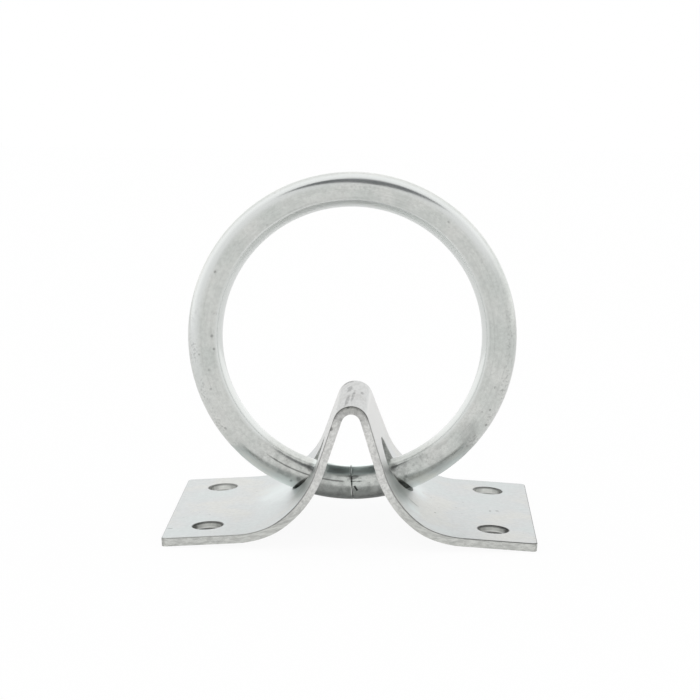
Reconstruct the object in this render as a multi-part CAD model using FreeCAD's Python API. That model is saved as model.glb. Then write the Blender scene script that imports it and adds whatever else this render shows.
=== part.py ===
import FreeCAD, Part
import math
import os
from FreeCAD import Vector

# A bracket pressed from one piece of steel strip, with a ring of round bar that swings in it.
# Millimetres and degrees. The origin is on the deck under the middle of the bracket, +Z is up,
# +X runs along the strip and the bracket is looked at from -Y.
os.makedirs("parts", exist_ok=True)

# The strip: sizes over the bracket as it stands on the deck.
strip_length = 110.0
strip_width = 72.0
sheet = 2.5
corner_radius = 1.5
edge_rounding = 0.35
hole_rounding = 0.3

# The hump: radii are those of its outside, which is the side that faces up.
crest_height = 39.3
crest_radius = 5.5
leg_angle = 71.0
bend_radius = 25.8

# The feet are set slightly down towards their ends, so the bracket stands on its two end edges.
foot_slope = 3.5

# The blank is narrower across the crest. Its sides open out in straight tapers.
crest_width = 40.5
waist_radius = 18.0
taper_angle = 22.5
shoulder_radius = 8.0

# Four screw holes, for 8 mm screws.
screw_hole = 9.0
screw_spacing_x = 85.0
screw_spacing_y = 47.0

# One round hole in each leg for the ring, placed by its distance along the outside from the crest.
ring_hole = 19.0
ring_hole_from_crest = 27.3

# The ring: bar thickness and the clear width inside it.
bar = 10.6
ring_inside = 79.4
seat_gap = 0.3

# As photographed the ring stands a little to the left and leans back.
ring_offset = -0.6
ring_lean = 4.0

# The butted ends of the bar, left unwelded, beside the ring's lowest point.
joint_gap = 0.12
joint_offset = 0.4
joint_tilt = 5.0
left_end_rounding = 0.15
right_end_rounding = 0.3
nick_from_joint = 1.3
nick_below = 12.0
nick_slant = 31.0
nick_length = 1.8
nick_radius = 0.3
nick_depth = 0.4

# How far the sheet is left over for trimming, how far apart the points of a cut line are, and how
# close two things lie that touch.
trim = 2.0
cut_step = 1.0
touching = 0.01

# Sizes that follow from the ones above.
bar_radius = bar / 2
ring_radius = (ring_inside + bar) / 2
hole_radius = ring_hole / 2
leg = math.radians(leg_angle)
foot = math.radians(foot_slope)
taper = math.radians(taper_angle)

# The straight leg and the foot are as long as it takes to come down from the crest to the deck
# and out to the end of the strip.
drop = (crest_height - crest_radius * (1 - math.cos(leg)) - sheet * math.cos(foot)
        - bend_radius * (math.cos(foot) - math.cos(leg)))
reach = (strip_length / 2 - crest_radius * math.sin(leg)
         - bend_radius * (math.sin(leg) - math.sin(foot)))
turn = math.sin(leg - foot)
leg_length = (drop * math.cos(foot) - reach * math.sin(foot)) / turn
foot_length = (reach * math.sin(leg) - drop * math.cos(leg)) / turn

# Distances along the outside from the crest to where each stretch ends.
crest_end = crest_radius * leg
leg_end = crest_end + leg_length
bend_end = leg_end + bend_radius * (leg - foot)
foot_end = bend_end + foot_length

# Distances along the outside to where the sides of the blank change: from the waist's curve to
# the straight taper, and from there over the rounded shoulder to the full width.
waist_end = waist_radius * math.sin(taper)
widening = (strip_width - crest_width) / 2 - waist_radius * (1 - math.cos(taper))
shoulder_peak = waist_end + widening / math.tan(taper)
shoulder_end = shoulder_peak + shoulder_radius * math.tan(taper / 2)
shoulder_start = shoulder_end - shoulder_radius * math.sin(taper)


def slope_at(s):
    """How far the sheet points down at distance s along the outside from the crest."""
    if s < crest_end:
        return s / crest_radius
    if s < leg_end:
        return leg
    if s < bend_end:
        return leg - (s - leg_end) / bend_radius
    return foot


def normal_at(s):
    """The direction square out of the top of the sheet."""
    a = slope_at(s)
    return Vector(math.sin(a), 0, math.cos(a))


def outside_at(s):
    """The point of the outside at distance s from the crest, on the +X half."""
    crest_centre = Vector(0, 0, crest_height - crest_radius)
    if s < crest_end:
        return crest_centre + normal_at(s) * crest_radius
    down_leg = Vector(math.cos(leg), 0, -math.sin(leg))
    top_of_leg = crest_centre + normal_at(crest_end) * crest_radius
    if s < leg_end:
        return top_of_leg + down_leg * (s - crest_end)
    bend_centre = top_of_leg + down_leg * leg_length + normal_at(leg_end) * bend_radius
    if s < bend_end:
        return bend_centre - normal_at(s) * bend_radius
    along_foot = Vector(math.cos(foot), 0, -math.sin(foot))
    return bend_centre - normal_at(bend_end) * bend_radius + along_foot * (s - bend_end)


def on_sheet(s, depth):
    """A point of the sheet's section, depth below the outside; a negative s is on the -X half."""
    point = outside_at(abs(s)) - normal_at(abs(s)) * depth
    return Vector(math.copysign(point.x, s), 0, point.z)


def half_width(s):
    """Half the width of the blank at distance s from the crest: waist, taper, shoulder, foot."""
    s = abs(s)
    half_foot = strip_width / 2
    if s < waist_end:
        return crest_width / 2 + waist_radius - math.sqrt(waist_radius ** 2 - s ** 2)
    if s < shoulder_start:
        return half_foot - (shoulder_peak - s) * math.tan(taper)
    if s < shoulder_end:
        return half_foot - shoulder_radius + math.sqrt(shoulder_radius ** 2 - (shoulder_end - s) ** 2)
    return half_foot


def skin(depth):
    """The edges of one side of the sheet, from the -X end to the +X end."""
    bend_middle = (leg_end + bend_end) / 2
    edges = []
    for side in (-1, 1):
        bend_arc = Part.Arc(on_sheet(side * bend_end, depth), on_sheet(side * bend_middle, depth),
                            on_sheet(side * leg_end, depth))
        edges.append(Part.makeLine(on_sheet(side * foot_end, depth),
                                   on_sheet(side * bend_end, depth)))
        edges.append(bend_arc.toShape())
        edges.append(Part.makeLine(on_sheet(side * leg_end, depth),
                                   on_sheet(side * crest_end, depth)))
    crest_arc = Part.Arc(on_sheet(-crest_end, depth), on_sheet(0, depth),
                         on_sheet(crest_end, depth))
    edges.append(crest_arc.toShape())
    return edges


# The pressed shape, a little wider than the feet all the way along.
end_lines = []
for side in (-1, 1):
    end_lines.append(Part.makeLine(on_sheet(side * foot_end, 0), on_sheet(side * foot_end, sheet)))
outline = Part.Wire(Part.__sortEdges__(skin(0) + skin(sheet) + end_lines))
section = Part.Face(outline)
section.translate(Vector(0, -strip_width / 2 - trim, 0))
bracket = section.extrude(Vector(0, strip_width + 2 * trim, 0))

# The sides of the blank are cut square to the sheet. The cut runs on past both ends.
cut_end = foot_end + trim
steps = round(cut_end / cut_step)
stations = []
for i in range(-steps, steps + 1):
    stations.append(cut_end * i / steps)


def cut_line(depth, side):
    """The side of the blank on a surface at this depth below the outside.

    The distance from the crest runs along every such line, so a pair of them makes a cut that
    stands square to the sheet.
    """
    points = []
    for s in stations:
        point = on_sheet(s, depth)
        points.append(Vector(point.x, side * half_width(s), point.z))
    curve = Part.BSplineCurve()
    curve.interpolate(Points=points, Parameters=stations)
    return curve.toShape()


for side in (-1, 1):
    face = Part.makeRuledSurface(cut_line(-trim, side), cut_line(sheet + trim, side))
    offcut = face.extrude(Vector(0, side * strip_width, 0))
    bracket = bracket.cut(offcut)


def through_sheet(edge):
    """True for an edge that runs square through the sheet at the full width."""
    first = edge.Vertexes[0].Point
    last = edge.Vertexes[-1].Point
    at_side = min(abs(first.y), abs(last.y)) > strip_width / 2 - touching
    return at_side and abs((first - last).Length - sheet) < touching


def on_top(edge):
    """True for an edge that lies on the outside of the sheet all along."""
    for point in edge.discretize(5):
        beside = Part.Vertex(Vector(point.x, 0, point.z))
        if top_line.distToShape(beside)[0] > touching:
            return False
    return True


top_line = Part.Wire(Part.__sortEdges__(skin(0)))
bend_end_x = outside_at(bend_end).x

# Corners of the feet.
corners = []
for edge in bracket.Edges:
    if through_sheet(edge) and abs(edge.Vertexes[0].Point.x) > bend_end_x:
        corners.append(edge)
bracket = bracket.makeFillet(corner_radius, corners)

# The punched outline is rolled over slightly on the top side. The lines where the bends start
# and stop run straight across the strip and stay as they are.
outline_edges = []
for edge in bracket.Edges:
    along = abs(edge.Vertexes[0].Point.x - edge.Vertexes[-1].Point.x) > touching
    foot_line = abs(edge.Vertexes[0].Point.x) > strip_length / 2 - touching
    if on_top(edge) and (along or foot_line):
        outline_edges.append(edge)
bracket = bracket.makeFillet(edge_rounding, outline_edges)

# Screw holes, drilled square to the deck.
cutters = []
for x in (-screw_spacing_x / 2, screw_spacing_x / 2):
    for y in (-screw_spacing_y / 2, screw_spacing_y / 2):
        cutters.append(Part.makeCylinder(screw_hole / 2, crest_height, Vector(x, y, -sheet)))

# Ring holes, punched square to the sheet.
square = normal_at(ring_hole_from_crest)
for side in (-1, 1):
    punch_way = Vector(side * square.x, 0, square.z)
    start = on_sheet(side * ring_hole_from_crest, 0) - punch_way * hole_radius
    cutters.append(Part.makeCylinder(hole_radius, ring_hole, start, punch_way))
bracket = bracket.cut(Part.makeCompound(cutters))

# The rims of the holes are rolled over on the top side too.
rims = []
for edge in bracket.Edges:
    middle = Part.Vertex(edge.discretize(3)[1])
    beside_hole = min(cutter.distToShape(middle)[0] for cutter in cutters) < touching
    if beside_hole and on_top(edge):
        rims.append(edge)
bracket = bracket.makeFillet(hole_rounding, rims)
bracket.exportStep("parts/bracket.step")

# Where the ring rests: the lower end of each ring hole, on the outside of the sheet.
down_sheet = Vector(square.z, 0, -square.x)
sag = bend_radius - math.sqrt(bend_radius ** 2 - hole_radius ** 2)
seat = on_sheet(ring_hole_from_crest, 0) + down_sheet * hole_radius + square * sag

# The ring stands with its bar just clear of the nearer seat. It swings about the line through
# the middle of the bar at the seats.
reach_to_seat = ring_radius + bar_radius + seat_gap
ring_height = seat.z + math.sqrt(reach_to_seat ** 2 - (seat.x - abs(ring_offset)) ** 2)
swing_height = ring_height - math.sqrt(ring_radius ** 2 - seat.x ** 2)
ring_centre = Vector(ring_offset, 0, ring_height)
ring = Part.makeTorus(ring_radius, bar_radius, ring_centre, Vector(0, 1, 0))

# The bar's two ends meet in a hairline joint beside the lowest point.
low_point = ring_centre + Vector(joint_offset, 0, -ring_radius)
saw_cut = Part.makeBox(joint_gap, 2 * bar, 2 * bar, low_point - Vector(joint_gap / 2, bar, bar))
saw_cut.rotate(low_point, Vector(0, 1, 0), -joint_tilt)
ring = ring.cut(saw_cut)

# The left end keeps a small rounding and the right end a larger one.
left_end = []
right_end = []
for edge in ring.Edges:
    points = edge.discretize(5)
    near_joint = max((point - low_point).Length for point in points) < bar
    if near_joint and points[1].x < low_point.x:
        left_end.append(edge)
    elif near_joint:
        right_end.append(edge)
ring = ring.makeFillet(left_end_rounding, left_end)
ring = ring.makeFillet(right_end_rounding, right_end)

# A short slanted nick in the front of the right end, beside the joint.
below = math.radians(nick_below)
slant = math.radians(nick_slant)
out_of_bar = Vector(0, -math.cos(below), -math.sin(below))
down_bar = Vector(0, math.sin(below), -math.cos(below))
nick_way = Vector(math.sin(slant), 0, 0) + down_bar * math.cos(slant)
nick_place = low_point + Vector(nick_from_joint, 0, 0)
nick_middle = nick_place + out_of_bar * (bar_radius + nick_radius - nick_depth)
nick_start = nick_middle - nick_way * (nick_length / 2)
ring = ring.cut(Part.makeCylinder(nick_radius, nick_length, nick_start, nick_way))

# The ring leans back a little.
ring.rotate(Vector(0, 0, swing_height), Vector(1, 0, 0), -ring_lean)
ring.exportStep("parts/ring.step")
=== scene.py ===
import bpy
import math
from mathutils import Matrix, Vector

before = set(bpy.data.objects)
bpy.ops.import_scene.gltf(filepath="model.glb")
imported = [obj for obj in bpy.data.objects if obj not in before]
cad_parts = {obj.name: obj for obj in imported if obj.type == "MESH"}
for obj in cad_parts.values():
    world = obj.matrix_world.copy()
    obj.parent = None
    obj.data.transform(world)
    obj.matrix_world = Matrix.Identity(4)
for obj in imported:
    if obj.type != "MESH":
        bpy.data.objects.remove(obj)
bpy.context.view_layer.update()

# Bracket: one piece of steel strip, sheared to a waisted outline, punched, pressed into a hump
# between two feet and then zinc plated. It is screwed to the deck through its feet.

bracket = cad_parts["bracket"]
bracket_corners = [Vector(corner) for corner in bracket.bound_box]
crest_z = max(corner.z for corner in bracket_corners)
foot_end_x = max(corner.x for corner in bracket_corners)
crest_radius = 0.0055
flat_foot_from = 0.034
foot_slope = math.radians(3.5)
screw_hole_x = 0.0425
screw_hole_y = 0.0235
screw_hole_radius = 0.0045
ring_hole_radius = 0.0095
ring_holes_within_x = 0.019


def add_node(tree, kind, place, **settings):
    """A shader node of this kind at this place in the editor, with these properties."""
    made = tree.nodes.new(kind)
    made.location = place
    for name, value in settings.items():
        setattr(made, name, value)
    return made


def feed(tree, socket, value):
    """Set a socket to a number or a colour, or link another node's output to it."""
    if isinstance(value, bpy.types.NodeSocket):
        tree.links.new(value, socket)
    else:
        socket.default_value = value


def reckon(tree, operation, place, first, second=0.5):
    """A math node; each input is a number or another node's output."""
    made = add_node(tree, "ShaderNodeMath", place, operation=operation)
    feed(tree, made.inputs[0], first)
    feed(tree, made.inputs[1], second)
    return made.outputs[0]


def diagonal(tree, place, first, second):
    """How far away a point is that lies this far along two directions square to each other."""
    left, top = place
    squares = [reckon(tree, "MULTIPLY", (left - 300, top - 150 * row), side, side)
               for row, side in enumerate((first, second))]
    return reckon(tree, "SQRT", place, reckon(tree, "ADD", (left - 150, top), *squares))


def step(tree, place, value, start, end):
    """0 below start and 1 beyond end, with a soft step between; end may be the lower one."""
    made = add_node(tree, "ShaderNodeMapRange", place, interpolation_type="SMOOTHSTEP")
    feed(tree, made.inputs["Value"], value)
    feed(tree, made.inputs["From Min"], start)
    feed(tree, made.inputs["From Max"], end)
    return made.outputs["Result"]


def all_of(tree, place, masks):
    """The product of several masks."""
    product = masks[0]
    for mask in masks[1:]:
        product = reckon(tree, "MULTIPLY", place, product, mask)
    return product


def any_of(tree, place, masks):
    """The strongest of several masks."""
    strongest = masks[0]
    for mask in masks[1:]:
        strongest = reckon(tree, "MAXIMUM", place, strongest, mask)
    return strongest


def less(tree, place, mask, strength):
    """1 outside the mask, and less by this strength inside it."""
    return reckon(tree, "SUBTRACT", place, 1.0, reckon(tree, "MULTIPLY", place, mask, strength))


def blend(tree, place, mask, under, over):
    """One colour laid over another where the mask says so."""
    made = add_node(tree, "ShaderNodeMix", place, data_type="RGBA")
    feed(tree, made.inputs[0], mask)
    feed(tree, made.inputs[6], under)
    feed(tree, made.inputs[7], over)
    return made.outputs[2]


def shade(tree, place, colour, mask, strength):
    """A colour made darker by this strength where the mask says so."""
    made = add_node(tree, "ShaderNodeVectorMath", place, operation="SCALE")
    feed(tree, made.inputs[0], colour)
    feed(tree, made.inputs["Scale"], less(tree, place, mask, strength))
    return made.outputs[0]


def split(tree, place, vector):
    """The X, Y and Z of a vector."""
    made = add_node(tree, "ShaderNodeSeparateXYZ", place)
    feed(tree, made.inputs[0], vector)
    return made.outputs[0], made.outputs[1], made.outputs[2]


def join(tree, place, x, y, z=0.0):
    """A vector made of its X, Y and Z."""
    made = add_node(tree, "ShaderNodeCombineXYZ", place)
    for socket, value in zip(made.inputs, (x, y, z)):
        feed(tree, socket, value)
    return made.outputs[0]


def drawn_out(tree, place, position, factors):
    """A position with each axis multiplied by its own factor, to draw out the texture put on it."""
    made = add_node(tree, "ShaderNodeVectorMath", place, operation="MULTIPLY")
    feed(tree, made.inputs[0], position)
    feed(tree, made.inputs[1], factors)
    return made.outputs[0]


def noise(tree, place, position, scale, detail=2.0, roughness=0.5):
    """A noise texture of this scale."""
    made = add_node(tree, "ShaderNodeTexNoise", place)
    feed(tree, made.inputs["Vector"], position)
    feed(tree, made.inputs["Scale"], scale)
    made.inputs["Detail"].default_value = detail
    made.inputs["Roughness"].default_value = roughness
    return made


def patch(tree, place, position, centre, radii, turn=0.0, soft=0.6):
    """1 inside an oval patch of the surface and 0 outside it; turn is its angle about the vertical
    and soft is how far its edge fades."""
    made = add_node(tree, "ShaderNodeMapping", place, vector_type="TEXTURE")
    feed(tree, made.inputs["Vector"], position)
    made.inputs["Location"].default_value = centre
    made.inputs["Rotation"].default_value = (0.0, 0.0, turn)
    made.inputs["Scale"].default_value = radii
    away = add_node(tree, "ShaderNodeVectorMath", place, operation="LENGTH")
    feed(tree, away.inputs[0], made.outputs[0])
    return step(tree, place, away.outputs["Value"], 1.0, 1.0 - soft)


def zinc_bloom_group():
    """Cloudy blotches, fine grain and small pits, as a thin zinc coat has them."""
    group = bpy.data.node_groups.new("zinc bloom", "ShaderNodeTree")
    face = group.interface
    face.new_socket("Place", in_out="INPUT", socket_type="NodeSocketVector")
    face.new_socket("Cloud Size", in_out="INPUT", socket_type="NodeSocketFloat")
    face.new_socket("Clouds", in_out="OUTPUT", socket_type="NodeSocketFloat")
    face.new_socket("Grain", in_out="OUTPUT", socket_type="NodeSocketFloat")
    face.new_socket("Pits", in_out="OUTPUT", socket_type="NodeSocketFloat")
    start = add_node(group, "NodeGroupInput", (-800, 0))
    end = add_node(group, "NodeGroupOutput", (400, 0))
    place = start.outputs["Place"]
    clouds = noise(group, (-500, 300), place, start.outputs["Cloud Size"], 4.0, 0.55)
    grain = noise(group, (-500, 0), place, 900.0, 3.0, 0.7)
    pits = add_node(group, "ShaderNodeTexVoronoi", (-500, -300))
    pits.inputs["Scale"].default_value = 420.0
    feed(group, pits.inputs["Vector"], place)
    pitted = noise(group, (-500, -600), place, 95.0)
    in_pit = step(group, (-250, -300), pits.outputs["Distance"], 0.22, 0.08)
    in_patch = step(group, (-250, -600), pitted.outputs["Fac"], 0.56, 0.66)
    feed(group, end.inputs["Clouds"], step(group, (0, 300), clouds.outputs["Fac"], 0.32, 0.68))
    feed(group, end.inputs["Grain"], step(group, (0, 0), grain.outputs["Fac"], 0.30, 0.70))
    feed(group, end.inputs["Pits"], all_of(group, (0, -300), [in_pit, in_patch]))
    return group


zinc_bloom = zinc_bloom_group()


def plated_metal(name):
    """A new material that is metal all over, with its node tree and its shader."""
    made = bpy.data.materials.new(name)
    made.use_nodes = True
    tree = made.node_tree
    shader = tree.nodes["Principled BSDF"]
    shader.location = (1600, 0)
    tree.nodes["Material Output"].location = (1900, 0)
    shader.inputs["Metallic"].default_value = 1.0
    return made, tree, shader


def strip_face(tree, bloom, to_right):
    """Satin zinc in cloudy greys with grain and pits, and a little darker on the right foot."""
    tint = add_node(tree, "ShaderNodeValToRGB", (-700, 500))
    tint.color_ramp.elements[0].color = (0.565, 0.605, 0.60, 1.0)
    tint.color_ramp.elements[1].color = (0.66, 0.665, 0.64, 1.0)
    tint.color_ramp.elements.new(0.6).color = (0.61, 0.627, 0.625, 1.0)
    feed(tree, tint.inputs["Fac"], bloom.outputs["Clouds"])
    face = shade(tree, (-400, 500), tint.outputs["Color"], bloom.outputs["Grain"], 0.10)
    face = shade(tree, (-200, 500), face, bloom.outputs["Pits"], 0.25)
    return shade(tree, (-100, 500), face, step(tree, (-300, 700), to_right, 0.014, 0.030), 0.04)


def wandering(tree, position):
    """The position moved about by a few millimetres, so that the edge of an area wanders."""
    stray = 0.006
    astray = noise(tree, (-1200, 1000), position, 150.0, 3.0)
    wander = add_node(tree, "ShaderNodeVectorMath", (-1000, 1000), operation="MULTIPLY_ADD")
    feed(tree, wander.inputs[0], astray.outputs["Color"])
    wander.inputs[1].default_value = (2 * stray, 2 * stray, 2 * stray)
    feed(tree, wander.inputs[2], position)
    moved = add_node(tree, "ShaderNodeVectorMath", (-800, 1000), operation="SUBTRACT")
    feed(tree, moved.inputs[0], wander.outputs[0])
    moved.inputs[1].default_value = (stray, stray, stray)
    return moved.outputs[0]


def strip_tones(tree, face, position, height, upwards, over_crest):
    """Painted light and shade on the zinc: a painted reflection of the ring makes it brightest beside the
    ring, a painted dark reflection of the ring greys the fronts of the legs, and painted contact shade
    darkens it where the ring's bar goes in. It is also pale on the outsides of the legs and greyer over
    the crest."""
    area = wandering(tree, position)
    # Painted reflection of the ring: the zinc is made brighter in patches beside it.
    ring_reflection_light = any_of(tree, (-400, 900), [
        patch(tree, (-600, 900), area, centre, radii, soft=0.95)
        for centre, radii in (((-0.0225, 0.006, 0.0075), (0.011, 0.019, 0.009)),
                              ((0.0203, 0.0035, 0.0081), (0.006, 0.011, 0.006)),
                              ((0.0175, -0.0235, 0.0102), (0.006, 0.010, 0.006)))])
    face = blend(tree, (0, 500), ring_reflection_light, face, (0.665, 0.71, 0.705, 1.0))
    leg_side = all_of(tree, (-450, 850), [step(tree, (-650, 800), height, 0.008, 0.030),
                                          step(tree, (-650, 850), upwards, 0.05, 0.25),
                                          step(tree, (-650, 900), upwards, 0.70, 0.45)])
    face = blend(tree, (50, 500), reckon(tree, "MULTIPLY", (-300, 850), leg_side, 0.85), face,
                 (0.73, 0.727, 0.712, 1.0))
    face = blend(tree, (100, 500), reckon(tree, "MULTIPLY", (-300, 700), over_crest, 0.75), face,
                 (0.51, 0.51, 0.50, 1.0))
    # Painted dark reflection of the ring on the fronts of the legs below it.
    ring_reflection_on_legs = any_of(tree, (-400, 1100), [
        patch(tree, (-600, 1100), area, (x, -0.015, 0.0145), (0.007, 0.015, 0.010), soft=0.95)
        for x in (-0.0135, 0.0135)])
    face = blend(tree, (200, 500), ring_reflection_on_legs, face, (0.415, 0.44, 0.425, 1.0))
    # Painted contact shade on the legs where the ring's bar goes in.
    bar_entry_shade = any_of(tree, (-400, 1200), [
        patch(tree, (-600, 1200), area, (x, -0.0055, 0.0175), (0.004, 0.008, 0.005), soft=0.9)
        for x in (-0.0115, 0.0115)])
    return shade(tree, (250, 500), face, bar_entry_shade, 0.45)


def strip_marks(tree, face, position, over_crest):
    """Rubbed streaks, spots of the press tool and fine grit over the crest, a darker patch along the back
    of the crest's top edge, and a scratch and a few specks on the feet."""
    rubbed = drawn_out(tree, (-900, 1300), position, (1500.0, 350.0, 600.0))
    rub = noise(tree, (-700, 1300), rubbed, 1.0, 3.0, 0.6).outputs["Fac"]
    streaks = any_of(tree, (-500, 1400), [
        patch(tree, (-700, 1400), position, centre, radii, math.radians(-2.5))
        for centre, radii in (((-0.0015, -0.0105, 0.0391), (0.0008, 0.0105, 0.003)),
                              ((0.0001, -0.0040, 0.0393), (0.0006, 0.0120, 0.003)),
                              ((-0.0014, 0.0070, 0.0391), (0.0014, 0.0060, 0.003)),
                              ((0.0026, 0.0030, 0.0387), (0.0006, 0.0026, 0.003)),
                              # This last patch darkens the back of the crest's top edge.
                              ((-0.0022, 0.0190, 0.0388), (0.0030, 0.0022, 0.003)))])
    scuffs = all_of(tree, (-300, 1300), [step(tree, (-500, 1300), rub, 0.33, 0.50), streaks])
    face = shade(tree, (300, 500), face, scuffs, 0.50)
    grit = all_of(tree, (-300, 1200), [over_crest, step(tree, (-500, 1200), rub, 0.42, 0.60)])
    face = shade(tree, (350, 500), face, grit, 0.13)
    scratch = patch(tree, (-500, 1600), position, (0.0188, -0.0164, 0.0093), (0.0026, 0.0007, 0.003),
                    math.radians(-18))
    specks = any_of(tree, (-300, 1600), [scratch] + [
        patch(tree, (-500, 1700), position, centre, radii)
        for centre, radii in (((0.0253, -0.0136, 0.0055), (0.0005, 0.0008, 0.002)),
                              ((0.0423, -0.0024, 0.0033), (0.0005, 0.0012, 0.002)),
                              ((0.0445, -0.0017, 0.0031), (0.0008, 0.0009, 0.002)),
                              ((-0.0536, -0.0253, 0.0026), (0.0012, 0.0006, 0.002)))])
    return shade(tree, (400, 500), face, specks, 0.42)


def torn_metal(tree, position, height):
    """The mottling of torn metal, drawn out along the feet."""
    up_leg = step(tree, (-1400, 0), height, 0.003, 0.012)
    factors = blend(tree, (-1300, 0), up_leg, (0.35, 1.0, 1.3, 1.0), (1.0, 1.0, 1.0, 1.0))
    place = drawn_out(tree, (-1100, 0), position, factors)
    return noise(tree, (-900, 100), place, 1000.0, 4.0, 0.75).outputs["Fac"]


def cut_edge(tree, torn, height, outwards, across):
    """The torn edge of the strip is mottled, with dark flecks. It is lightest on the legs and darkest
    over the crest, with a darker rim along the top there, and painted shade makes it a little darker in
    the ring holes."""
    up_edge = add_node(tree, "ShaderNodeValToRGB", (-700, 250))
    ramp = up_edge.color_ramp
    ramp.elements[0].position = 0.20
    ramp.elements[0].color = (0.70, 0.71, 0.68, 1.0)
    ramp.elements[1].position = 1.0
    ramp.elements[1].color = (0.50, 0.505, 0.475, 1.0)
    for position, level in ((0.45, 0.88), (0.72, 0.90), (0.82, 0.95), (0.90, 0.84), (0.945, 0.54)):
        ramp.elements.new(position).color = (level, level, level * 0.975, 1.0)
    feed(tree, up_edge.inputs["Fac"], reckon(tree, "DIVIDE", (-850, 250), height, crest_z))
    mottle = step(tree, (-700, 100), torn, 0.60, 0.40)
    edge = shade(tree, (-400, 200), up_edge.outputs["Color"], mottle, 0.24)
    flecks = step(tree, (-700, 0), torn, 0.38, 0.28)
    edge = shade(tree, (-300, 200), edge, flecks, 0.35)

    above_bend = reckon(tree, "SUBTRACT", (-1000, -2300), height, crest_z - crest_radius)
    from_bend = diagonal(tree, (-600, -2300), outwards, above_bend)
    crest_rim = all_of(tree, (-300, -2300), [
        step(tree, (-450, -2200), from_bend, crest_radius - 0.0009, crest_radius - 0.0004),
        step(tree, (-450, -2350), height, 0.0345, 0.036)])
    edge = shade(tree, (-100, 200), edge, crest_rim, 0.28)

    # Painted shade on the torn edge inside the ring holes.
    in_ring_hole = all_of(tree, (-300, -100), [
        step(tree, (-500, -50), outwards, ring_holes_within_x + 0.001, ring_holes_within_x),
        step(tree, (-500, -150), across, ring_hole_radius + 0.001, ring_hole_radius + 0.0003)])
    return shade(tree, (0, 100), edge, in_ring_hole, 0.15)


def screw_hole_wall(tree, to_back, outwards, across, height):
    """The wall of a screw hole: where it is, its grey, and where it is dark. It has a dark rim above,
    partly its rolled-over edge and partly painted shade, a line of painted shade along its foot and dark
    ends of painted shade, all of which follow the slope of the foot. A painted light line lies just above
    the foot line."""
    past_axis = reckon(tree, "SUBTRACT", (-1100, -1500), outwards, screw_hole_x)
    beside_axis = reckon(tree, "SUBTRACT", (-1100, -1600), across, screw_hole_y)
    from_axis = add_node(tree, "ShaderNodeVectorMath", (-700, -1500), operation="LENGTH")
    feed(tree, from_axis.inputs[0], join(tree, (-900, -1500), past_axis, beside_axis))
    in_hole = step(tree, (-500, -1500), from_axis.outputs["Value"], screw_hole_radius + 0.0005,
                   screw_hole_radius + 0.0002)
    to_foot_end = reckon(tree, "SUBTRACT", (-1250, -1750), foot_end_x, outwards)
    rise = reckon(tree, "MULTIPLY", (-1100, -1750), to_foot_end, math.tan(foot_slope))
    up_wall = reckon(tree, "SUBTRACT", (-900, -1750), height, rise)
    # Painted light: a pale line low on the wall, just above the dark foot line.
    low_light_line = all_of(tree, (-300, -2100), [step(tree, (-500, -2100), up_wall, 0.0005, 0.0006),
                                        step(tree, (-500, -2200), up_wall, 0.0010, 0.0008)])
    rear = step(tree, (-500, -2300), to_back, -0.001, 0.001)
    grey = blend(tree, (0, -1900), any_of(tree, (-100, -2100), [low_light_line, rear]), (0.80, 0.81, 0.78, 1.0),
                 (0.97, 0.98, 0.95, 1.0))
    # Painted shade: the dark rim above, partly the rolled-over edge, the dark line along the foot and the
    # dark ends.
    dark = any_of(tree, (-300, -1500), [step(tree, (-500, -1650), up_wall, 0.0017, 0.0021),
                                        step(tree, (-500, -1800), up_wall, 0.00055, 0.00045),
                                        step(tree, (-500, -1900), past_axis, 0.0029, 0.0040),
                                        step(tree, (-500, -2000), past_axis, -0.0035, -0.0043)])
    dark = all_of(tree, (0, -1500), [in_hole, dark, less(tree, (-100, -1650), rear, 0.3)])
    return in_hole, grey, dark


def sheared_lip(tree, outwards, sideways, upwards):
    """The lip that shearing rolled along the top of the edge, on the hump and on the feet."""
    side_lip = all_of(tree, (-500, -500), [step(tree, (-900, -500), sideways, 0.10, 0.30),
                                           step(tree, (-900, -650), sideways, 0.97, 0.80),
                                           step(tree, (-900, -800), upwards, 0.0, 0.15)])
    foot_lip = all_of(tree, (-500, -950), [
        step(tree, (-900, -950), outwards, flat_foot_from - 0.001, flat_foot_from),
        step(tree, (-900, -1100), upwards, 0.12, 0.25),
        step(tree, (-900, -1250), upwards, 0.985, 0.95)])
    return any_of(tree, (-300, -700), [side_lip, foot_lip])


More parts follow.
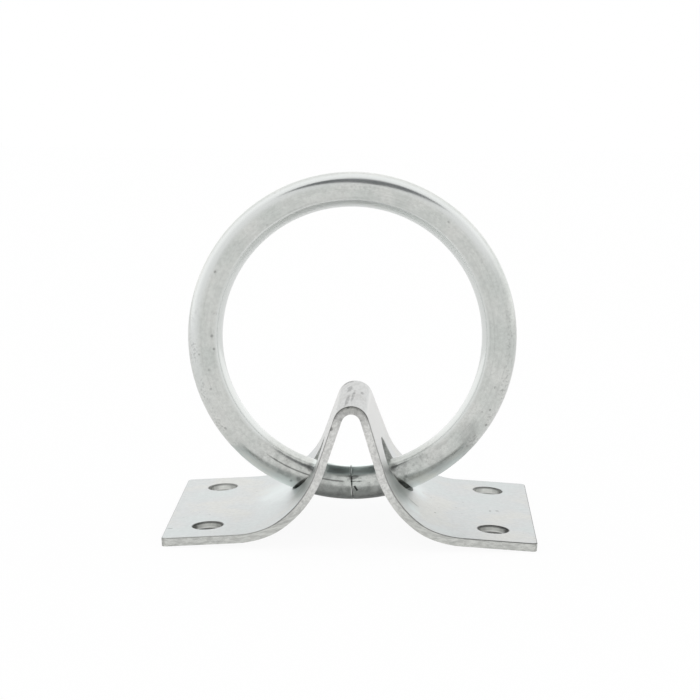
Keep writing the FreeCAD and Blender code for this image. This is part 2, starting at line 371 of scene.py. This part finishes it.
def plated_strip():
    """Satin zinc on the faces of the strip, greyer torn metal and a dark lip on its sheared edges."""
    made, tree, shader = plated_metal("plated strip")
    spot = add_node(tree, "ShaderNodeTexCoord", (-1600, 0))
    position = spot.outputs["Object"]
    to_right, to_back, height = split(tree, (-1400, 200), position)
    facing_end, facing_side, upwards = split(tree, (-1400, -200), spot.outputs["Normal"])
    outwards = reckon(tree, "ABSOLUTE", (-1200, 200), to_right)
    across = reckon(tree, "ABSOLUTE", (-1200, 50), to_back)
    sideways = reckon(tree, "ABSOLUTE", (-1200, -200), facing_side)
    endways = reckon(tree, "ABSOLUTE", (-1200, -350), facing_end)
    bloom = add_node(tree, "ShaderNodeGroup", (-1100, 500), node_tree=zinc_bloom)
    bloom.inputs["Cloud Size"].default_value = 60.0
    feed(tree, bloom.inputs["Place"], position)

    over_crest = all_of(tree, (-450, 700), [step(tree, (-650, 650), height, 0.026, crest_z - 0.003),
                                            step(tree, (-650, 700), upwards, 0.45, 0.75)])
    face = strip_face(tree, bloom, to_right)
    face = strip_tones(tree, face, position, height, upwards, over_crest)
    face = strip_marks(tree, face, position, over_crest)
    torn = torn_metal(tree, position, height)
    edge = cut_edge(tree, torn, height, outwards, across)
    in_hole, wall, wall_shade = screw_hole_wall(tree, to_back, outwards, across, height)
    edge = blend(tree, (200, 100), in_hole, edge, wall)
    cut = any_of(tree, (-700, -200), [step(tree, (-900, -200), sideways, 0.12, 0.35),
                                      step(tree, (-900, -350), endways, 0.955, 0.975)])
    colour = blend(tree, (500, 200), cut, face, edge)
    # Painted shade on the screw hole walls.
    colour = shade(tree, (600, 200), colour, wall_shade, 0.66)

    # The dark lip is broken up, and half worn off the left foot. The corners of the feet are duller,
    # and two dark dents sit on the front edge, one on the crest and one below it on the left.
    lip = sheared_lip(tree, outwards, sideways, upwards)
    broken = step(tree, (-500, -1100), torn, 0.28, 0.50)
    worn = less(tree, (100, -1000), step(tree, (-100, -1000), to_right, -0.020, -0.034), 0.5)
    colour = shade(tree, (700, 200), colour, all_of(tree, (300, -500), [lip, broken, worn]), 0.62)
    corner = all_of(tree, (300, -700), [
        step(tree, (-900, -1300), endways, 0.30, 0.60),
        step(tree, (-900, -1350), endways, 0.97, 0.90),
        step(tree, (-900, -1400), outwards, flat_foot_from - 0.001, flat_foot_from)])
    colour = shade(tree, (800, 200), colour, corner, 0.15)
    dents = any_of(tree, (700, -300), [
        patch(tree, (500, -300), position, (-0.0009, -0.0204, 0.0389), (0.0007, 0.0006, 0.0004)),
        patch(tree, (500, -400), position, (-0.0060, -0.0227, 0.0329), (0.0009, 0.0010, 0.0009))])
    feed(tree, shader.inputs["Base Color"], shade(tree, (900, 200), colour, dents, 0.55))

    face_rough = add_node(tree, "ShaderNodeMapRange", (-400, -100))
    feed(tree, face_rough.inputs["Value"], bloom.outputs["Clouds"])
    face_rough.inputs["To Min"].default_value = 0.30
    face_rough.inputs["To Max"].default_value = 0.40
    rough = add_node(tree, "ShaderNodeMix", (900, -100), data_type="FLOAT")
    feed(tree, rough.inputs[0], cut)
    feed(tree, rough.inputs[2], face_rough.outputs["Result"])
    rough.inputs[3].default_value = 0.5
    feed(tree, shader.inputs["Roughness"], rough.outputs[0])
    return made


bracket.material_slots[0].material = plated_strip()

# Ring: round steel bar bent into a ring, its two ends butted at the bottom inside the hump, and
# zinc plated. It hangs in the two holes of the bracket's legs and swings in them.

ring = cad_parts["ring"]
ring_corners = [Vector(corner) for corner in ring.bound_box]
ring_middle = sum(ring_corners, Vector()) / len(ring_corners)
bar_radius = 0.0053
ring_radius = max(corner.x for corner in ring_corners) - ring_middle.x - bar_radius
ring_lean = math.radians(4.0)


def turned(tree, place, angle, start, end):
    """The same soft step for an angle, with its two ends in degrees."""
    return step(tree, place, angle, math.radians(start), math.radians(end))


def drawing_lines(tree, clock, inward, forward):
    """Long fine lines along the bar, left by drawing it through the die."""
    fineness = 1500.0
    along = join(tree, (-900, 900), reckon(tree, "MULTIPLY", (-1050, 900), clock, 3.0),
                 reckon(tree, "MULTIPLY", (-1050, 1000), inward, fineness),
                 reckon(tree, "MULTIPLY", (-1050, 1100), forward, fineness))
    drawn = noise(tree, (-700, 900), along, 1.0)
    return step(tree, (-500, 900), drawn.outputs["Fac"], 0.45, 0.75)


def open_line(tree, clock, from_bottom, round_bar, patchy):
    """One line of the drawing that stands open: it runs on from the left leg nearly to the joint, and
    in bits for a few degrees to the right of it."""
    line_at = math.radians(10.5)
    from_line = reckon(tree, "ABSOLUTE", (-600, 1500), reckon(
        tree, "SUBTRACT", (-700, 1500), round_bar, line_at))
    on_line = step(tree, (-450, 1500), from_line, 0.060, 0.018)
    on_left = step(tree, (-600, 1800), clock, 0.02, -0.02)
    on_right = less(tree, (-500, 2000), on_left, 1.0)
    left_line = all_of(tree, (-300, 1500), [on_line, on_left,
                                            turned(tree, (-450, 1600), from_bottom, 37, 31),
                                            turned(tree, (-450, 1700), from_bottom, 2, 3.5)])
    right_line = all_of(tree, (-300, 1900), [on_line, on_right,
                                             turned(tree, (-450, 2100), from_bottom, 5, 4),
                                             step(tree, (-450, 2200), patchy, 0.38, 0.48)])
    return any_of(tree, (0, 1600), [left_line, right_line])


def painted_flank_light(tree, colour, clock, from_bottom, round_bar):
    """Painted light makes the flanks of the bar paler than its front, on the outer one as a painted
    reflection of the white room: the outer one over the top and down the left, the inner one all round
    but for the bottom. Over the top the inner one is rougher, and paler still by a painted lift of the
    dark reflection there."""
    # Painted reflection of the white room on the outer flank.
    outer_flank_light = all_of(tree, (300, 3600), [turned(tree, (100, 3600), round_bar, -8, -34),
                                            turned(tree, (100, 3650), round_bar, -74, -48),
                                            turned(tree, (100, 3700), clock, -125, -80),
                                            turned(tree, (100, 3800), clock, 75, 50)])
    colour = blend(tree, (420, 600), outer_flank_light, colour, (0.73, 0.75, 0.74, 1.0))
    # Painted light: the inner flank made paler than the front.
    inner_flank_light = all_of(tree, (300, 3900), [turned(tree, (100, 3900), round_bar, 32, 46),
                                            turned(tree, (100, 4000), from_bottom, 32, 45)])
    colour = blend(tree, (430, 600), inner_flank_light, colour, (0.70, 0.72, 0.705, 1.0))
    # Painted light: a band on the inner flank over the top made paler still, lifting the dark reflection
    # there.
    top_inside_light = all_of(tree, (300, 4300), [turned(tree, (100, 4300), round_bar, 29, 38),
                                            turned(tree, (100, 4400), round_bar, 60, 48),
                                            turned(tree, (100, 4500), from_bottom, 105, 145)])
    colour = blend(tree, (440, 600), top_inside_light, colour, (0.86, 0.88, 0.86, 1.0))
    rough_top = all_of(tree, (300, 4100), [inner_flank_light, turned(tree, (100, 4100), from_bottom, 105, 135)])
    return colour, rough_top


def lower_half_marks(tree, colour, position, from_bottom, round_bar, patchy):
    """The lower half has clustered rough specks on its outer flank, both sides made paler underneath by
    painted reflection, painted shade under the bottom, a soft grey cloud on the right and single spots,
    two of which are painted contact shade by the legs."""
    sandy = noise(tree, (-700, 2300), position, 1500.0)
    clusters = noise(tree, (-700, 2500), position, 160.0)
    lower_half = all_of(tree, (0, 2400), [turned(tree, (-300, 2400), from_bottom, 110, 85),
                                          turned(tree, (-300, 2500), from_bottom, 22, 32)])
    rough_specks = all_of(tree, (200, 2300), [
        lower_half, turned(tree, (-300, 2300), round_bar, -15, -35),
        step(tree, (-300, 2600), sandy.outputs["Fac"], 0.52, 0.62),
        step(tree, (-300, 2700), clusters.outputs["Fac"], 0.42, 0.56)])
    colour = shade(tree, (450, 600), colour, rough_specks, 0.27)
    # Painted reflection: the outer flank under both sides of the lower half made paler.
    lower_flank_light = all_of(tree, (200, 2900), [turned(tree, (-100, 2800), round_bar, -20, -32),
                                            turned(tree, (-100, 2900), from_bottom, 50, 40),
                                            turned(tree, (-100, 3000), from_bottom, 16, 20)])
    colour = blend(tree, (460, 600), reckon(tree, "MULTIPLY", (300, 2900), lower_flank_light, 0.9), colour,
                   (0.80, 0.83, 0.81, 1.0))
    # Painted shade under the bottom of the ring, where the hump shades it, darkest at the lowest edge.
    near_bottom = turned(tree, (-100, 3200), from_bottom, 16, 12)
    under_hump_shade = all_of(tree, (200, 3100), [turned(tree, (-100, 3100), round_bar, -20, -60), near_bottom])
    colour = shade(tree, (470, 600), colour, under_hump_shade, 0.48)
    lowest_shade = all_of(tree, (200, 3200), [turned(tree, (-100, 3300), round_bar, -58, -74), near_bottom])
    colour = shade(tree, (475, 600), colour, lowest_shade, 0.40)
    cloud = patch(tree, (200, 3300), position, (0.0354, -0.0043, 0.0277), (0.004, 0.003, 0.006))
    colour = shade(tree, (480, 600), colour, cloud, 0.16)
    # Dark spots; the two of radius 0.0019 are painted contact shade where the bar goes through the legs.
    spot_and_contact_places = (((0.01579, -0.00530, 0.01353), 0.0008), ((0.01636, -0.00536, 0.01462), 0.0007),
              ((-0.01888, -0.00475, 0.01264), 0.0007), ((-0.0165, -0.0053, 0.0133), 0.0009),
              ((-0.0126, -0.0041, 0.0168), 0.0019), ((0.0127, -0.0040, 0.0171), 0.0019),
              ((-0.0421, -0.0011, 0.0635), 0.0008), ((-0.0421, -0.0010, 0.0764), 0.0006),
              ((-0.0431, -0.0018, 0.0568), 0.0007), ((-0.0425, -0.0018, 0.0528), 0.0006),
              ((-0.0438, -0.0031, 0.0465), 0.0006), ((-0.0470, -0.0025, 0.0512), 0.0004),
              ((-0.0389, -0.0037, 0.0285), 0.0006), ((0.0432, -0.0033, 0.0421), 0.0006),
              ((0.0417, -0.0033, 0.0352), 0.0005), ((0.0406, -0.0026, 0.0303), 0.0007))
    spots = any_of(tree, (200, 2800), [patch(tree, (0, 2800), position, centre, (radius, radius, radius))
                                       for centre, radius in spot_and_contact_places])
    spots = all_of(tree, (350, 2800), [spots, step(tree, (300, 2700), patchy, 0.36, 0.52)])
    return shade(tree, (500, 600), colour, spots, 0.40)


def joint_marks(tree, colour, clock_x, clock_z, from_bottom, round_bar, from_core):
    """The sawn ends are rounded over. Beside the joint on top of the bar a painted dark reflection dips
    down, as the dark band bends over the rounded end, and a painted highlight makes a pale line on the
    rounding below it. A painted lift makes the dark reflected band beside the joint paler on the ring's
    inside, and painted shade keeps the joint and the nick dark inside."""
    beside_bottom = reckon(tree, "ARCTAN2", (-300, 3000), clock_x, reckon(
        tree, "MULTIPLY", (-450, 3000), clock_z, -1.0))
    by_joint = join(tree, (0, 3000), reckon(tree, "MULTIPLY", (-150, 3000), beside_bottom, ring_radius),
                    reckon(tree, "MULTIPLY", (-150, 2900), round_bar, bar_radius))
    # Painted dark reflection dipping down beside the joint.
    joint_dark_reflection = any_of(tree, (400, 3000), [
        patch(tree, (200, 3000), by_joint, centre, radii, math.radians(turn))
        for centre, radii, turn in (((0.0012, 0.0024, 0.0), (0.0024, 0.0010, 1.0), 20),
                                    ((0.0, 0.0025, 0.0), (0.0009, 0.0006, 1.0), -20))])
    colour = shade(tree, (550, 600), colour, joint_dark_reflection, 0.60)
    # Painted light: the dark reflected band beside the joint made paler.
    inside_band_lift = all_of(tree, (400, 3400), [turned(tree, (200, 3400), from_bottom, 18, 14),
                                             turned(tree, (200, 3500), round_bar, 28, 36)])
    colour = blend(tree, (580, 600), inside_band_lift, colour, (0.86, 0.92, 0.90, 1.0))
    # Painted shade inside the joint and the nick.
    inside = step(tree, (-100, 2500), from_core, bar_radius - 0.00006, bar_radius - 0.00016)
    colour = shade(tree, (600, 600), colour, inside, 0.80)
    # Painted highlight: a pale line on the rounding below the joint, laid over the joint's gap.
    joint_highlight = patch(tree, (200, 3200), by_joint, (0.00043, -0.0020, 0.0), (0.0004, 0.0024, 1.0))
    return blend(tree, (700, 600), joint_highlight, colour, (0.97, 0.97, 0.95, 1.0))


def plated_bar():
    """Brighter zinc on drawn bar, with the long fine lines of the drawing and of the bending."""
    made, tree, shader = plated_metal("plated bar")
    spot = add_node(tree, "ShaderNodeTexCoord", (-2000, 0))
    position = spot.outputs["Object"]

    # Places on the bar: the clock angle round the ring, the angle up from the ring's bottom, and the
    # angle round the bar from its front towards the ring's inside.
    centred = add_node(tree, "ShaderNodeVectorMath", (-1800, 0), operation="SUBTRACT")
    feed(tree, centred.inputs[0], position)
    centred.inputs[1].default_value = ring_middle
    upright = add_node(tree, "ShaderNodeVectorRotate", (-1600, 0), rotation_type="X_AXIS")
    feed(tree, upright.inputs["Vector"], centred.outputs[0])
    upright.inputs["Angle"].default_value = ring_lean
    clock_x, depth, clock_z = split(tree, (-1400, 0), upright.outputs[0])
    clock = reckon(tree, "ARCTAN2", (-1200, 200), clock_x, clock_z)
    from_bottom = reckon(tree, "SUBTRACT", (-700, 1700), math.pi, reckon(
        tree, "ABSOLUTE", (-800, 1700), clock))
    inward = reckon(tree, "SUBTRACT", (-1000, -100), ring_radius, diagonal(
        tree, (-1100, -100), clock_x, clock_z))
    forward = reckon(tree, "MULTIPLY", (-1000, -250), depth, -1.0)
    round_bar = reckon(tree, "ARCTAN2", (-800, -100), inward, forward)
    from_core = diagonal(tree, (-300, 2500), inward, forward)

    bloom = add_node(tree, "ShaderNodeGroup", (-1100, 600), node_tree=zinc_bloom)
    bloom.inputs["Cloud Size"].default_value = 80.0
    feed(tree, bloom.inputs["Place"], position)
    tint = add_node(tree, "ShaderNodeValToRGB", (-700, 600))
    tint.color_ramp.elements[0].color = (0.60, 0.625, 0.60, 1.0)
    tint.color_ramp.elements[1].color = (0.70, 0.71, 0.685, 1.0)
    feed(tree, tint.inputs["Fac"], bloom.outputs["Clouds"])
    colour = shade(tree, (-400, 600), tint.outputs["Color"], bloom.outputs["Grain"], 0.13)
    colour = shade(tree, (-200, 600), colour, bloom.outputs["Pits"], 0.30)
    colour = shade(tree, (0, 600), colour, drawing_lines(tree, clock, inward, forward), 0.08)

    # One open line, and coarser zinc by both legs.
    patchy = noise(tree, (-700, 1200), position, 420.0, 4.0, 0.7).outputs["Fac"]
    colour = shade(tree, (200, 600), colour, open_line(tree, clock, from_bottom, round_bar, patchy), 0.60)
    coarse = all_of(tree, (200, 1200), [turned(tree, (-300, 1200), from_bottom, 50, 28),
                                        turned(tree, (-300, 1300), round_bar, 70, 35),
                                        turned(tree, (-300, 1400), round_bar, -80, -50),
                                        step(tree, (0, 1100), patchy, 0.40, 0.68)])
    colour = shade(tree, (400, 600), colour, coarse, 0.28)
    colour, rough_top = painted_flank_light(tree, colour, clock, from_bottom, round_bar)
    colour = lower_half_marks(tree, colour, position, from_bottom, round_bar, patchy)
    colour = joint_marks(tree, colour, clock_x, clock_z, from_bottom, round_bar, from_core)
    feed(tree, shader.inputs["Base Color"], colour)

    rough = add_node(tree, "ShaderNodeMapRange", (-400, 300))
    feed(tree, rough.inputs["Value"], bloom.outputs["Clouds"])
    rough.inputs["To Min"].default_value = 0.17
    rough.inputs["To Max"].default_value = 0.23
    rougher = reckon(tree, "ADD", (900, 300), rough.outputs["Result"], reckon(
        tree, "MULTIPLY", (700, 300), rough_top, 0.12))
    feed(tree, shader.inputs["Roughness"], rougher)
    return made


ring.material_slots[0].material = plated_bar()

# Studio: a white table and a soft white room, brighter behind and overhead, with one dark gap high
# in front, over the camera. The camera looks from a little to the right and 10 degrees above.

floor_size = 3.0
bpy.ops.mesh.primitive_plane_add(size=floor_size, location=(0, 0, -0.0001))
table = bpy.context.object
table.name = "table"


def white_cloth():
    """Matt white, which the camera sees as nearly plain white with the object's shadow on it."""
    made = bpy.data.materials.new("white table")
    made.use_nodes = True
    tree = made.node_tree
    tree.nodes.clear()
    out = add_node(tree, "ShaderNodeOutputMaterial", (600, 0))
    matt = add_node(tree, "ShaderNodeBsdfDiffuse", (0, 0))
    matt.inputs["Color"].default_value = (0.96, 0.96, 0.96, 1.0)
    glow = add_node(tree, "ShaderNodeEmission", (0, -200))
    glow.inputs["Color"].default_value = (1.0, 1.0, 1.0, 1.0)
    glow.inputs["Strength"].default_value = 1.004
    path = add_node(tree, "ShaderNodeLightPath", (-200, 300))
    to_camera = reckon(tree, "MULTIPLY", (0, 300), path.outputs["Is Camera Ray"], 0.93)
    to_metal = reckon(tree, "MULTIPLY", (0, 200), path.outputs["Is Glossy Ray"], 0.18)
    mix = add_node(tree, "ShaderNodeMixShader", (300, 0))
    feed(tree, mix.inputs[0], reckon(tree, "ADD", (150, 300), to_camera, to_metal))
    feed(tree, mix.inputs[1], matt.outputs[0])
    feed(tree, mix.inputs[2], glow.outputs[0])
    feed(tree, out.inputs["Surface"], mix.outputs[0])
    return made


table.data.materials.append(white_cloth())


def dark_gap(tree, to_right, to_back, upwards):
    """The gap, as it lies on a ceiling one unit up: how far it is to the side and to the front."""
    gap_middle = 0.08
    gap_near = 0.17
    gap_half_width = 0.68
    gap_depth = 0.80
    gap_corner = 1.2
    height = reckon(tree, "MAXIMUM", (-1000, -100), upwards, 0.001)
    to_side = reckon(tree, "DIVIDE", (-800, -100), to_right, height)
    to_front = reckon(tree, "DIVIDE", (-800, -250), reckon(
        tree, "MULTIPLY", (-1000, -250), to_back, -1.0), height)
    off_middle = reckon(tree, "ABSOLUTE", (-500, -100), reckon(
        tree, "DIVIDE", (-550, -100), reckon(
            tree, "SUBTRACT", (-600, -100), to_side, gap_middle), gap_half_width))
    inwards = reckon(tree, "DIVIDE", (-500, -250), reckon(
        tree, "SUBTRACT", (-600, -250), to_front, gap_near), gap_depth)
    past_near = reckon(tree, "MAXIMUM", (-400, -250), inwards, 0.0)
    rounded = reckon(tree, "ADD", (-200, -150),
                     reckon(tree, "POWER", (-350, -100), off_middle, gap_corner),
                     reckon(tree, "POWER", (-350, -250), past_near, gap_corner))
    return all_of(tree, (0, -200), [step(tree, (-100, -150), rounded, 1.06, 0.94),
                                    step(tree, (-100, -300), inwards, -0.03, 0.03),
                                    step(tree, (-100, -450), upwards, 0.30, 0.35)])


def white_room():
    """Soft light all round, brighter from behind, with the dark gap in it, and plain white to look at."""
    made = bpy.data.worlds.new("white room")
    made.use_nodes = True
    tree = made.node_tree
    tree.nodes.clear()
    out = add_node(tree, "ShaderNodeOutputWorld", (900, 0))
    back = add_node(tree, "ShaderNodeBackground", (700, 0))
    feed(tree, out.inputs["Surface"], back.outputs[0])
    way = add_node(tree, "ShaderNodeTexCoord", (-1400, 0))
    to_right, to_back, upwards = split(tree, (-1200, 0), way.outputs["Generated"])
    rear = step(tree, (-900, 300), to_back, -0.35, 0.45)
    light = blend(tree, (-500, 300), rear, (0.92, 0.92, 0.92, 1.0), (1.16, 1.16, 1.16, 1.0))
    in_gap = dark_gap(tree, to_right, to_back, upwards)
    light = blend(tree, (300, 100), in_gap, light, (0.17, 0.175, 0.18, 1.0))
    path = add_node(tree, "ShaderNodeLightPath", (300, 400))
    seen = blend(tree, (500, 100), path.outputs["Is Camera Ray"], light, (1.0, 1.0, 1.0, 1.0))
    feed(tree, back.inputs["Color"], seen)
    return made


bpy.context.scene.world = white_room()

# The camera stands at the photograph's angle.

look_at = Vector((-0.0011, 0.0, 0.05264))
camera_side = math.radians(1.88)
camera_height = math.radians(10.12)
camera_roll = math.radians(0.308)
camera_distance = 0.6038
lens = bpy.data.cameras.new("camera")
lens.lens = 101.84
lens.sensor_width = 36.0
camera = bpy.data.objects.new("camera", lens)
bpy.context.collection.objects.link(camera)
outward = Vector((math.sin(camera_side) * math.cos(camera_height),
                  -math.cos(camera_side) * math.cos(camera_height),
                  math.sin(camera_height)))
turn = outward.to_track_quat("Z", "Y").to_matrix().to_4x4()
camera.matrix_world = (Matrix.Translation(look_at + outward * camera_distance) @ turn
                       @ Matrix.Rotation(camera_roll, 4, "Z"))
bpy.context.scene.camera = camera
bpy.context.scene.view_settings.view_transform = "Standard"
